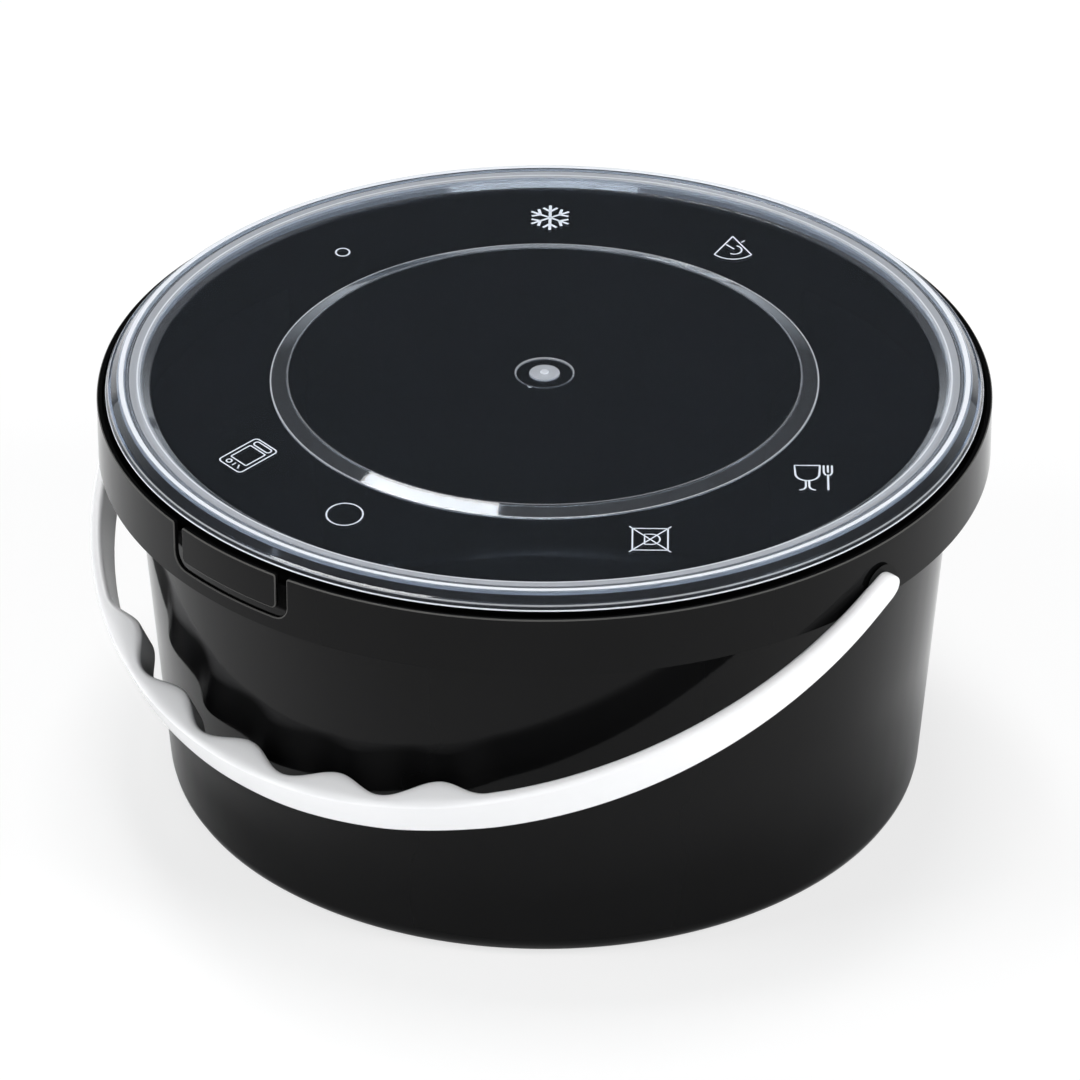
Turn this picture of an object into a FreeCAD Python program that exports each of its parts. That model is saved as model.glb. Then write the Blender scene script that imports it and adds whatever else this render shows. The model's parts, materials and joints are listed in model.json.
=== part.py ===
"""Round food bucket with a push-on lid and a swinging bail handle.

Injection-moulded polypropylene in three pieces. The frame is +Z up, with the origin at the
centre of the base. The handle's pivots lie on X, and the handle hangs on the -Y side.
All sizes are in millimetres.
"""
import FreeCAD, Part
import math
import os

from FreeCAD import Vector

# Bucket: a tapered, thin-walled cup that stands on a foot ring.
BASE_RADIUS = 113.6        # outside of the wall, carried down to the base plane
WALL_FLARE = 0.080         # what the wall's radius gains per millimetre of height
WALL = 1.3
FLOOR = 1.5
BASE_CORNER = 7.0          # outer rounding between wall and base
FOOT_RING = 14.6           # width of the ring that stands on the ground; inside it the base is raised
FOOT_HEIGHT = 1.6
FOOT_SLOPE = 1.6           # run of the sloping step at the foot ring's inner edge
RIM_HEIGHT = 132.4         # top of the wall, which carries the lid
BEAD = 1.2                 # how far the rim's bead stands out of the wall
BEAD_HEIGHT = 2.0

# Collar: the shroud that stands round the lid's edge, on a flange near the wall's top.
COLLAR_WALL = 1.7
COLLAR_HEIGHT = 18.4
COLLAR_DROP = 4.2          # the collar's top lies this far under the rim
FLANGE_DEPTH = 3.6         # the flange's top lies this far under the collar's top
FLANGE = 1.5
RIB_COUNT = 24             # gussets under the flange, between the wall and the collar
RIB = 1.0
RIB_DROP_WALL = 12.0       # how far a rib reaches down the wall
RIB_DROP_COLLAR = 6.0      # and down the collar

# Tear tab: a tongue of the collar, cut free at its sides and bottom.
TAB_WIDTH = 38.4
TAB_HEIGHT = 11.4
TAB_SIDE_SLOT = 3.9
TAB_BOTTOM_SLOT = 2.8
TAB_CORNER = 1.8
TAB_DIRECTION = 270.0      # degrees from +X, midway between the pivots at 0 and 180

# Lid: a clear moulding that rests on the rim and reaches down inside and outside of it.
LID = 1.1                  # thickness
LID_SKIRT = 3.0            # the lid's outer slope reaches this far under the rim
LID_SIDE_GAP = 0.7         # between the lid's edge and the collar
SHOULDER = 1.9             # the lid's outer slope has a shoulder this far over its lower edge
SHOULDER_RUN = 2.3         # from the ridge out to the shoulder
SHOULDER_WIDTH = 0.8
SHOULDER_DROP = 0.2
RIDGE_OVER_BEAD = 1.108    # how far the lid's outer ridge reaches out over the rim's bead
RIDGE_WIDTH = 1.6
RIDGE_RISE = 0.5           # the outer ridge stands this far over the land
EDGE_RUN = 4.1             # from the ridge out to the lid's edge
GROOVE_WIDTH = 1.3         # between the ridge and the land
GROOVE_DEPTH = 0.6
LAND_WIDTH = 3.1
PANEL_SLOPE = 3.3          # run of the slope from the land in to the panel
PANEL_DEPTH = 2.5          # the flat panel lies this far under the land
DISC_RADIUS = 81.4         # the raised middle of the panel
DISC_SLOPE = 5.0
DISC_RISE = 1.6
SEAL = 0.9                 # thickness of the sealing lip inside the bucket's wall
SEAL_LENGTH = 3.6
SEAL_CLEARANCE = 0.15
GATE_DISH_RADIUS = 8.8     # shallow dish round the moulding gate at the lid's centre
GATE_DISH_DEPTH = 0.4
GATE_BOSS_RADIUS = 4.5
GATE_DOT_RADIUS = 1.2
GATE_DOT_RISE = 0.5

# Handle: a flat band bent round the bucket, wider at the finger grip.
HANDLE_GAP = 0.4           # between the collar and the band beside the pivots
HANDLE_BAND = 3.8          # thickness of the band, measured away from the bucket
LEG_LENGTH = 7.6           # straight length from the pivot to the start of the arc
END_WIDTH = 8.6
BAND_WIDTH = 13.5
WIDENING_REACH = 92.0      # where the band reaches its full width
WIDENING_ROUNDING = 80.0
GRIP_SPAN = 58.0           # degrees of the arc that the finger grip covers
GRIP_RUN_OUT = 7.0         # degrees over which the grip runs out into the plain band
GRIP_FINGERS = 4
GRIP_CREST = 5.8           # how far the ridges between the fingers stand inward
GRIP_TROUGH = 0.3          # how far the finger hollows stand inward
GRIP_REST_GAP = 0.5        # between the resting grip and the bucket's wall

# Pivots: pins on the handle's ends that snap through holes in the collar.
PIN_RADIUS = 3.0
PIN_CLEARANCE = 0.06
PIN_HEAD_LIP = 0.9         # the head stands this far out of the pin
PIN_HEAD_LENGTH = 3.0
PIN_HEAD_TAPER = 0.6       # the head ends this much thinner than the pin
BOSS_MARGIN = 2.1          # the boss is this much larger in radius than the pin
BOSS_LENGTH = 2.2          # thickening of the collar behind the pivot
RECESS_CLEARANCE = 0.7     # round the handle's end
RECESS_DEPTH = 1.3
RECESS_EDGE = 0.2          # width of the collar that is left under the recess
AXIAL_CLEARANCE = 0.4
END_FLAT = 0.1             # what the handle's round ends and pads are flattened by

# Heights that follow from the ones above.
COLLAR_TOP = RIM_HEIGHT - COLLAR_DROP
COLLAR_BOTTOM = COLLAR_TOP - COLLAR_HEIGHT
FLANGE_TOP = COLLAR_TOP - FLANGE_DEPTH
FLANGE_UNDER = FLANGE_TOP - FLANGE
LID_BOTTOM = RIM_HEIGHT - LID_SKIRT
LAND_TOP = RIM_HEIGHT + LID
PANEL_TOP = LAND_TOP - PANEL_DEPTH
DISC_TOP = PANEL_TOP + DISC_RISE

# Radii that follow: the lid's ridge from the rim's bead, the collar from the lid's edge.
BEAD_RADIUS = BASE_RADIUS + WALL_FLARE * RIM_HEIGHT + BEAD
RIDGE_OUTER_RADIUS = BEAD_RADIUS + RIDGE_OVER_BEAD
RIDGE_INNER_RADIUS = RIDGE_OUTER_RADIUS - RIDGE_WIDTH
LAND_OUTER_RADIUS = RIDGE_INNER_RADIUS - GROOVE_WIDTH
LAND_INNER_RADIUS = LAND_OUTER_RADIUS - LAND_WIDTH
PANEL_RADIUS = LAND_INNER_RADIUS - PANEL_SLOPE
LID_RADIUS = RIDGE_OUTER_RADIUS + EDGE_RUN
COLLAR_INNER_RADIUS = LID_RADIUS + LID_SIDE_GAP
COLLAR_RADIUS = COLLAR_INNER_RADIUS + COLLAR_WALL
FOOT_INNER_RADIUS = BASE_RADIUS - FOOT_RING

# The handle's places and its pivots, which follow from the collar and the band's ends.
RECESS_RADIUS = END_WIDTH / 2 + RECESS_CLEARANCE
PIVOT_HEIGHT = COLLAR_BOTTOM + RECESS_EDGE + RECESS_RADIUS
PIN_HEAD_RADIUS = PIN_RADIUS + PIN_HEAD_LIP
BOSS_RADIUS = PIN_RADIUS + BOSS_MARGIN
BAND_INNER_RADIUS = COLLAR_RADIUS + HANDLE_GAP
BAND_OUTER_RADIUS = BAND_INNER_RADIUS + HANDLE_BAND
BOSS_FACE = COLLAR_INNER_RADIUS - BOSS_LENGTH
RECESS_FACE = COLLAR_RADIUS - RECESS_DEPTH
UP = Vector(0, 0, 1)
PASS = 2.0                 # how far a cutting tool runs past the surface it cuts
SINK = 0.3                 # how far a joined shape reaches into its neighbour


def wall_outside(height):
    """Outer radius of the bucket's wall at a height."""
    return BASE_RADIUS + WALL_FLARE * height


def wall_inside(height):
    return wall_outside(height) - WALL


def rounded_edges(corners):
    """Closed ring of edges in the XY plane through corners (x, y, radius), rounded by arcs."""
    places = [Vector(x, y, 0) for x, y, _ in corners]
    count = len(corners)
    stretches = []
    for index, (place, corner) in enumerate(zip(places, corners)):
        radius = corner[2]
        if radius == 0:
            stretches.append((place, None, place))
            continue
        before = (places[index - 1] - place).normalize()
        after = (places[(index + 1) % count] - place).normalize()
        half_angle = before.getAngle(after) / 2
        inward = (before + after).normalize()
        trim = radius / math.tan(half_angle)
        middle = place + inward * (radius / math.sin(half_angle) - radius)
        stretches.append((place + before * trim, middle, place + after * trim))
    edges = []
    for index, (start, middle, end) in enumerate(stretches):
        if middle is not None:
            edges.append(Part.Arc(start, middle, end).toShape())
        following = stretches[(index + 1) % count][0]
        edges.append(Part.LineSegment(end, following).toShape())
    return edges


def section_face(corners):
    """Face in the XZ plane from corners (radius, height, rounding)."""
    face = Part.Face(Part.Wire(rounded_edges(corners)))
    face.rotate(Vector(0, 0, 0), Vector(1, 0, 0), 90)
    return face


def turned(corners):
    """Solid turned about the vertical axis from a section."""
    return section_face(corners).revolve(Vector(0, 0, 0), UP, 360)


def rod(radius, start, end, height=PIVOT_HEIGHT):
    """Cylinder along X between two positions on the pivot axis."""
    return Part.makeCylinder(radius, end - start, Vector(start, 0, height), Vector(1, 0, 0))


# ---------------------------------------------------------------- bucket

def bucket_shell():
    """Base, wall, rim bead, flange and collar, turned as one section."""
    bead_bottom = RIM_HEIGHT - BEAD_HEIGHT
    return turned([
        (0, FOOT_HEIGHT, 0),
        (FOOT_INNER_RADIUS - FOOT_SLOPE, FOOT_HEIGHT, 0),
        (FOOT_INNER_RADIUS, 0, 0),
        (wall_outside(0), 0, BASE_CORNER),
        (wall_outside(FLANGE_UNDER), FLANGE_UNDER, 0),
        (COLLAR_INNER_RADIUS, FLANGE_UNDER, 0),
        (COLLAR_INNER_RADIUS, COLLAR_BOTTOM, 0),
        (COLLAR_RADIUS, COLLAR_BOTTOM, 0),
        (COLLAR_RADIUS, COLLAR_TOP, 0),
        (COLLAR_INNER_RADIUS, COLLAR_TOP, 0),
        (COLLAR_INNER_RADIUS, FLANGE_TOP, 0),
        (wall_outside(FLANGE_TOP), FLANGE_TOP, 0),
        (wall_outside(bead_bottom), bead_bottom, 0),
        (BEAD_RADIUS, bead_bottom + BEAD / 2, 0),
        (BEAD_RADIUS, RIM_HEIGHT, 0),
        (wall_inside(RIM_HEIGHT), RIM_HEIGHT, 0),
        (wall_inside(FLOOR), FLOOR, BASE_CORNER - WALL),
        (FOOT_INNER_RADIUS - FLOOR, FLOOR, 0),
        (FOOT_INNER_RADIUS - FLOOR - FOOT_SLOPE, FOOT_HEIGHT + FLOOR, 0),
        (0, FOOT_HEIGHT + FLOOR, 0),
    ])


def flange_ribs():
    """Gussets under the flange, left out behind the tear tab and the pivots."""
    bottom = FLANGE_UNDER - RIB_DROP_WALL
    profile = section_face([
        (wall_outside(FLANGE_UNDER) - SINK, FLANGE_UNDER + SINK, 0),
        (COLLAR_INNER_RADIUS + SINK, FLANGE_UNDER + SINK, 0),
        (COLLAR_INNER_RADIUS + SINK, FLANGE_UNDER - RIB_DROP_COLLAR, 0),
        (wall_outside(bottom) - SINK, bottom, 0),
    ])
    profile.translate(Vector(0, -RIB / 2, 0))
    rib = profile.extrude(Vector(0, RIB, 0))
    tab_clear = math.degrees((TAB_WIDTH / 2 + TAB_SIDE_SLOT + RIB) / COLLAR_RADIUS)
    pivot_clear = math.degrees((BOSS_RADIUS + RIB) / BOSS_FACE)
    kept_clear = ((TAB_DIRECTION, tab_clear), (0, pivot_clear), (180, pivot_clear), (360, pivot_clear))
    ribs = []
    for number in range(RIB_COUNT):
        direction = (number + 0.5) * 360 / RIB_COUNT
        if all(abs(direction - place) > clear for place, clear in kept_clear):
            copy = rib.copy()
            copy.rotate(Vector(0, 0, 0), UP, direction)
            ribs.append(copy)
    return ribs


def tab_slot():
    """The U-shaped cut that frees the tear tab, as deep as the collar is thick."""
    over_top = COLLAR_TOP + PASS
    tab_bottom = COLLAR_TOP - TAB_HEIGHT
    slot_bottom = tab_bottom - TAB_BOTTOM_SLOT
    half_tab = TAB_WIDTH / 2
    half_slot = half_tab + TAB_SIDE_SLOT
    slot_corner = TAB_CORNER + TAB_BOTTOM_SLOT
    prisms = []
    for half, bottom, corner in ((half_slot, slot_bottom, slot_corner),
                                 (half_tab, tab_bottom, TAB_CORNER)):
        face = section_face([
            (-half, over_top, 0),
            (-half, bottom, corner),
            (half, bottom, corner),
            (half, over_top, 0),
        ])
        face.translate(Vector(0, -COLLAR_RADIUS - PASS, 0))
        prisms.append(face.extrude(Vector(0, half_slot, 0)))
    collar_zone = turned([
        (COLLAR_INNER_RADIUS, slot_bottom - PASS, 0),
        (COLLAR_RADIUS + PASS, slot_bottom - PASS, 0),
        (COLLAR_RADIUS + PASS, over_top, 0),
        (COLLAR_INNER_RADIUS, over_top, 0),
    ])
    slot = prisms[0].cut(prisms[1]).common(collar_zone)
    slot.rotate(Vector(0, 0, 0), UP, TAB_DIRECTION - 270)
    return slot


def pivot_boss(side):
    """Round thickening inside the collar, round one pivot hole."""
    inner, outer = BOSS_FACE, COLLAR_INNER_RADIUS + COLLAR_WALL / 2
    start, end = (inner, outer) if side > 0 else (-outer, -inner)
    return rod(BOSS_RADIUS, start, end)


def pivot_cut(side):
    """The pivot hole with the shallow round recess that the handle's end turns in."""
    beyond = COLLAR_RADIUS + PASS
    hole = rod(PIN_RADIUS + PIN_CLEARANCE, BOSS_FACE - PASS, beyond)
    recess = rod(RECESS_RADIUS, RECESS_FACE, beyond)
    cut = hole.fuse(recess)
    if side < 0:
        cut.rotate(Vector(0, 0, 0), UP, 180)
    return cut


def make_bucket():
    additions = flange_ribs() + [pivot_boss(1), pivot_boss(-1)]
    bucket = bucket_shell().fuse(additions)
    return bucket.cut([tab_slot(), pivot_cut(1), pivot_cut(-1)]).removeSplitter()


# ---------------------------------------------------------------- lid

def make_lid():
    """The whole lid is one turned section, from the gate mark out to the lower edge."""
    seal_outer = wall_inside(RIM_HEIGHT) - SEAL_CLEARANCE
    seal_foot = RIM_HEIGHT - SEAL_LENGTH
    seal_foot_outer = wall_inside(seal_foot) - SEAL_CLEARANCE
    dish = DISC_TOP - GATE_DISH_DEPTH
    ridge_top = LAND_TOP + RIDGE_RISE
    shoulder = LID_BOTTOM + SHOULDER
    shoulder_radius = RIDGE_OUTER_RADIUS + SHOULDER_RUN
    return turned([
        (0, DISC_TOP + GATE_DOT_RISE, 0),
        (GATE_DOT_RADIUS, DISC_TOP + GATE_DOT_RISE, 0),
        (GATE_DOT_RADIUS, DISC_TOP, 0),
        (GATE_BOSS_RADIUS, DISC_TOP, 0),
        (GATE_BOSS_RADIUS, dish, 0),
        (GATE_DISH_RADIUS - GATE_DISH_DEPTH, dish, 0),
        (GATE_DISH_RADIUS, DISC_TOP, 0),
        (DISC_RADIUS - DISC_SLOPE, DISC_TOP, 0),
        (DISC_RADIUS, PANEL_TOP, 0),
        (PANEL_RADIUS, PANEL_TOP, 0),
        (LAND_INNER_RADIUS, LAND_TOP, 0),
        (LAND_OUTER_RADIUS, LAND_TOP, 0),
        ((LAND_OUTER_RADIUS + RIDGE_INNER_RADIUS) / 2, LAND_TOP - GROOVE_DEPTH, 0),
        (RIDGE_INNER_RADIUS, ridge_top, 0),
        (RIDGE_OUTER_RADIUS, ridge_top, 0),
        (shoulder_radius, shoulder, 0),
        (shoulder_radius + SHOULDER_WIDTH, shoulder - SHOULDER_DROP, 0),
        (LID_RADIUS, LID_BOTTOM, 0),
        (LID_RADIUS - LID, LID_BOTTOM, 0),
        (RIDGE_OUTER_RADIUS - LID / 2, ridge_top - LID, 0),
        (RIDGE_INNER_RADIUS + LID / 2, ridge_top - LID, 0),
        ((LAND_OUTER_RADIUS + RIDGE_INNER_RADIUS) / 2, RIM_HEIGHT, 0),
        (seal_outer, RIM_HEIGHT, 0),
        (seal_foot_outer, seal_foot, 0),
        (seal_foot_outer - SEAL, seal_foot, 0),
        (seal_outer - SEAL, RIM_HEIGHT, 0),
        (PANEL_RADIUS + LID / 2, PANEL_TOP - LID, 0),
        (DISC_RADIUS, PANEL_TOP - LID, 0),
        (DISC_RADIUS - DISC_SLOPE, DISC_TOP - LID, 0),
        (0, DISC_TOP - LID, 0),
    ])


# ---------------------------------------------------------------- handle

def rest_tilt():
    """Degrees below level at which the grip's lower inner edge meets the bucket's wall."""
    reach = LEG_LENGTH + BAND_INNER_RADIUS - GRIP_CREST
    low, high = 0.0, 60.0
    for _ in range(40):
        tilt = (low + high) / 2
        cosine, sine = math.cos(math.radians(tilt)), math.sin(math.radians(tilt))
        distance = reach * cosine - BAND_WIDTH / 2 * sine
        height = PIVOT_HEIGHT - reach * sine - BAND_WIDTH / 2 * cosine
        if distance > wall_outside(height) + GRIP_REST_GAP:
            low = tilt
        else:
            high = tilt
    return low


def grip_inset(angle):
    """How far the band's inner edge stands inward at an angle from the grip's middle."""
    beyond = (abs(angle) - GRIP_SPAN / 2) / GRIP_RUN_OUT
    if beyond >= 1:
        return 0.0
    if beyond > 0:
        return GRIP_CREST * (1 + math.cos(math.pi * beyond)) / 2
    wave = math.cos(2 * math.pi * angle * GRIP_FINGERS / GRIP_SPAN)
    return (GRIP_CREST + GRIP_TROUGH) / 2 + wave * (GRIP_CREST - GRIP_TROUGH) / 2


def arc_point(radius, angle):
    """Point of the band's arc at an angle from its middle, in the handle's own plane."""
    turn = math.radians(angle)
    return Vector(radius * math.sin(turn), -LEG_LENGTH - radius * math.cos(turn), 0)


def band_outline():
    """Outline of the handle in its own plane: two straight legs and an arc with finger hollows."""
    inner, outer = BAND_INNER_RADIUS, BAND_OUTER_RADIUS
    tip = END_WIDTH / 2
    edge_angle = GRIP_SPAN / 2 + GRIP_RUN_OUT
    side_angle = (90 + edge_angle) / 2
    finger = GRIP_SPAN / GRIP_FINGERS
    quarter_count = 4 * GRIP_FINGERS
    wave_angles = [-edge_angle, -edge_angle + GRIP_RUN_OUT / 2]
    wave_angles += [finger / 4 * (number - quarter_count / 2) for number in range(quarter_count + 1)]
    wave_angles += [edge_angle - GRIP_RUN_OUT / 2, edge_angle]
    wave_points = [arc_point(inner - grip_inset(angle), angle) for angle in wave_angles]
    along = [arc_point(1, angle + 90) - arc_point(0, 0) for angle in (-edge_angle, edge_angle)]
    wave = Part.BSplineCurve()
    wave.interpolate(Points=wave_points, InitialTangent=along[0], FinalTangent=along[1])
    edges = [
        Part.Arc(arc_point(outer, -90), arc_point(outer, 0), arc_point(outer, 90)).toShape(),
        Part.LineSegment(arc_point(outer, 90), Vector(outer, tip, 0)).toShape(),
        Part.LineSegment(Vector(outer, tip, 0), Vector(inner, tip, 0)).toShape(),
        Part.LineSegment(Vector(inner, tip, 0), arc_point(inner, 90)).toShape(),
        Part.Arc(arc_point(inner, 90), arc_point(inner, side_angle),
                 arc_point(inner, edge_angle)).toShape(),
        wave.toShape(),
        Part.Arc(arc_point(inner, -edge_angle), arc_point(inner, -side_angle),
                 arc_point(inner, -90)).toShape(),
        Part.LineSegment(arc_point(inner, -90), Vector(-inner, tip, 0)).toShape(),
        Part.LineSegment(Vector(-inner, tip, 0), Vector(-outer, tip, 0)).toShape(),
        Part.LineSegment(Vector(-outer, tip, 0), arc_point(outer, -90)).toShape(),
    ]
    return Part.Face(Part.Wire(Part.__sortEdges__(edges)))


def width_profile():
    """Side view of the band: round ends at the pivots, widening towards the grip."""
    end, full = END_WIDTH / 2, BAND_WIDTH / 2
    far = -(LEG_LENGTH + BAND_OUTER_RADIUS + PASS)
    corners = [
        (end, -end, end - END_FLAT),
        (end, end, end - END_FLAT),
        (-WIDENING_REACH, full, WIDENING_ROUNDING),
        (far, full, 0),
        (far, -full, 0),
        (-WIDENING_REACH, -full, WIDENING_ROUNDING),
    ]
    face = Part.Face(Part.Wire(rounded_edges(corners)))
    face.rotate(Vector(0, 0, 0), Vector(1, 1, 1), 120)
    span = BAND_OUTER_RADIUS + PASS
    face.translate(Vector(-span, 0, 0))
    return face.extrude(Vector(2 * span, 0, 0))


def pivot_pin(side):
    """Pad in the collar's recess, pin through the hole and the tapered head behind it."""
    pad_face = RECESS_FACE + AXIAL_CLEARANCE
    shoulder = BOSS_FACE - AXIAL_CLEARANCE
    pad = rod(END_WIDTH / 2 - END_FLAT, pad_face, BAND_INNER_RADIUS + HANDLE_BAND / 2, 0)
    pin = rod(PIN_RADIUS, shoulder - SINK, BAND_INNER_RADIUS, 0)
    head = Part.makeCone(PIN_HEAD_RADIUS, PIN_RADIUS - PIN_HEAD_TAPER, PIN_HEAD_LENGTH,
                         Vector(shoulder, 0, 0), Vector(-1, 0, 0))
    piece = pad.fuse([pin, head])
    if side < 0:
        piece.rotate(Vector(0, 0, 0), UP, 180)
    return piece


def make_handle():
    """The band is shaped level, with its pivots at the origin's height, and then hung."""
    slab = band_outline()
    slab.translate(Vector(0, 0, -BAND_WIDTH / 2 - PASS))
    band = slab.extrude(Vector(0, 0, BAND_WIDTH + 2 * PASS)).common(width_profile())
    handle = band.fuse([pivot_pin(1), pivot_pin(-1)]).removeSplitter()
    handle.rotate(Vector(0, 0, 0), Vector(1, 0, 0), rest_tilt())
    handle.translate(Vector(0, 0, PIVOT_HEIGHT))
    return handle


def main():
    os.makedirs("parts", exist_ok=True)
    for node, make in (("bucket", make_bucket), ("lid", make_lid), ("handle", make_handle)):
        shape = make()
        solid = shape.Solids[0]
        solid.exportStep(f"parts/{node}.step")
        print(node, "solids", len(shape.Solids), "closed", solid.isClosed(), "valid", solid.isValid(),
              "cm3", round(solid.Volume / 1000, 1), "box", solid.BoundBox)
    print("handle rests", round(rest_tilt(), 2), "degrees below level")


main()
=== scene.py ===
"""Looks of a round food bucket: glossy black cup, clear push-on lid and white bail handle.

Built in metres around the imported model, with +Z up, the handle's pivots on X and the tear tab on -Y.
"""

import json
import math

import bmesh
import bpy
from mathutils import Matrix, Vector


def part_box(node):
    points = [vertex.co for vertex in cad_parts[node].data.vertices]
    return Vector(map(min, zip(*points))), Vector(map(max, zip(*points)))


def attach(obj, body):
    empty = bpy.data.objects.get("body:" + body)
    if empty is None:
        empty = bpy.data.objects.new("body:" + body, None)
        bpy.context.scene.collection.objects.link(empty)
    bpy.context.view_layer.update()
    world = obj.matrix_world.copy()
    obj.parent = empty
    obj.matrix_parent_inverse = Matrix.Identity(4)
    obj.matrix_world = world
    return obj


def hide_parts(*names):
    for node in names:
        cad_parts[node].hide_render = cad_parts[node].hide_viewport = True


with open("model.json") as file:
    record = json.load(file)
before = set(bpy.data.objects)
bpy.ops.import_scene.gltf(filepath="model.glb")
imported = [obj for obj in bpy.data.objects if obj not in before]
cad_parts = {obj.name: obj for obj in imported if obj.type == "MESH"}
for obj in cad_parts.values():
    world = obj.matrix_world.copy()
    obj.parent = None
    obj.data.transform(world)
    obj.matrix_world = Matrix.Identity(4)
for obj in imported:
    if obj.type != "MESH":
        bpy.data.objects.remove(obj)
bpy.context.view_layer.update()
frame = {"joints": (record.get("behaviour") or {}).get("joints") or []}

# ------------------------------------------------------------------ cup
# The cup is an injection moulding of black polypropylene. Its thin tapered wall stands on a foot
# ring, ends in a beaded rim that carries the lid, and has a flange just under the rim.
# It is turned from one section, with its moulded corners rounded. Sections are in millimetres.

mm = 0.001
turn_steps = 288
corner_step = math.radians(18)
sharp_angle = math.radians(40)
same_place = 1e-7

foot_height = 1.6
foot_radius = 99.0
base_radius = 113.6
wall_flare = 0.080
wall = 1.3
base_thickness = 1.5
base_corner = 7.0
rim_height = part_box("bucket")[1].z / mm
rim_seat_gap = 0.05
bead = 1.2
bead_height = 2.0
collar_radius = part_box("bucket")[1].x / mm
collar_wall = 1.7
collar_top = 128.2
collar_bottom = 109.8
flange_top = 124.6
flange_under = 123.1
flange_overlap = 0.1       # how far the flange runs into the collar


def wall_outside(height):
    return base_radius + wall_flare * height


def wall_inside(height):
    return wall_outside(height) - wall


def section(corners, closed):
    """Wire in the XZ plane through corners (radius, height, rounding)."""
    drawn = bmesh.new()
    points = [drawn.verts.new((x * mm, 0, z * mm)) for x, z, _ in corners]
    for start, end in zip(points, points[1:] + points[:1] if closed else points[1:]):
        drawn.edges.new((start, end))
    for point, corner in zip(points, corners):
        rounding = corner[2] * mm
        if rounding == 0:
            continue
        ways = [(edge.other_vert(point).co - point.co).normalized() for edge in point.link_edges]
        half_angle = ways[0].angle(ways[1]) / 2
        steps = max(2, round((math.pi - 2 * half_angle) / corner_step))
        bmesh.ops.bevel(drawn, geom=[point], offset=rounding / math.tan(half_angle),
                        offset_type="OFFSET", segments=steps, profile=0.5,
                        affect="VERTICES", material=-1)
    return drawn


def turned(corners, closed=True, steps=turn_steps):
    """Section spun all the way round the Z axis; an open one starts and ends on it."""
    spun = section(corners, closed)
    bmesh.ops.spin(spun, geom=spun.verts[:] + spun.edges[:], cent=(0, 0, 0),
                   axis=(0, 0, 1), angle=2 * math.pi, steps=steps, use_merge=True)
    bmesh.ops.remove_doubles(spun, verts=spun.verts, dist=same_place)
    bmesh.ops.recalc_face_normals(spun, faces=spun.faces)
    return spun


def add_to(whole, piece, place=Matrix.Identity(4)):
    """Moves a finished bmesh into another one, at a place."""
    carried = bpy.data.meshes.new("carried")
    piece.to_mesh(carried)
    piece.free()
    carried.transform(place)
    whole.from_mesh(carried)
    bpy.data.meshes.remove(carried)


def piece_from(shape, name, material):
    """Object from a bmesh, smooth-shaded apart from its sharp edges."""
    mesh = bpy.data.meshes.new(name)
    shape.to_mesh(mesh)
    shape.free()
    mesh.shade_smooth()
    mesh.set_sharp_from_angle(angle=sharp_angle)
    mesh.materials.append(material)
    piece = bpy.data.objects.new(name, mesh)
    bpy.context.scene.collection.objects.link(piece)
    shading = piece.modifiers.new("flat_faces_shade_flat", "WEIGHTED_NORMAL")
    shading.keep_sharp = True
    return piece


def cup():
    bead_bottom = rim_height - bead_height
    bead_radius = wall_outside(rim_height) + bead
    rim_top = rim_height - rim_seat_gap
    flange_reach = collar_radius - collar_wall + flange_overlap
    foot_slope = foot_height
    return turned([
        (0, foot_height, 0),
        (foot_radius - foot_slope, foot_height, 0.8),
        (foot_radius, 0, 0.8),
        (wall_outside(0), 0, base_corner),
        (wall_outside(flange_under), flange_under, 0.6),
        (flange_reach, flange_under, 0),
        (flange_reach, flange_top, 0),
        (wall_outside(flange_top), flange_top, 0.6),
        (wall_outside(bead_bottom), bead_bottom, 0.2),
        (bead_radius, bead_bottom + bead / 2, 0.3),
        (bead_radius, rim_top, 0.4),
        (wall_inside(rim_height), rim_top, 0.4),
        (wall_inside(base_thickness), base_thickness, base_corner - wall),
        (foot_radius - base_thickness, base_thickness, 0.5),
        (foot_radius - base_thickness - foot_slope, foot_height + base_thickness, 0.5),
        (0, foot_height + base_thickness, 0),
    ], closed=False)


# ------------------------------------------------------------------ collar and tear tab
# A collar stands on the flange and hides the lid's edge. A U-shaped slot frees the tear tab, which
# is torn off to open the bucket the first time. The collar's outline is drawn flat, thickened,
# bevelled and then bent round the bucket.

tab_width = 38.4
tab_height = 11.4
tab_corner = 1.8
side_slot = 3.9
bottom_slot = 2.8
slot_lip = 0.8
edge_rounding = 0.35
edge_angle = math.radians(60)    # a plate's faces that meet more steeply get a rounded edge


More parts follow.
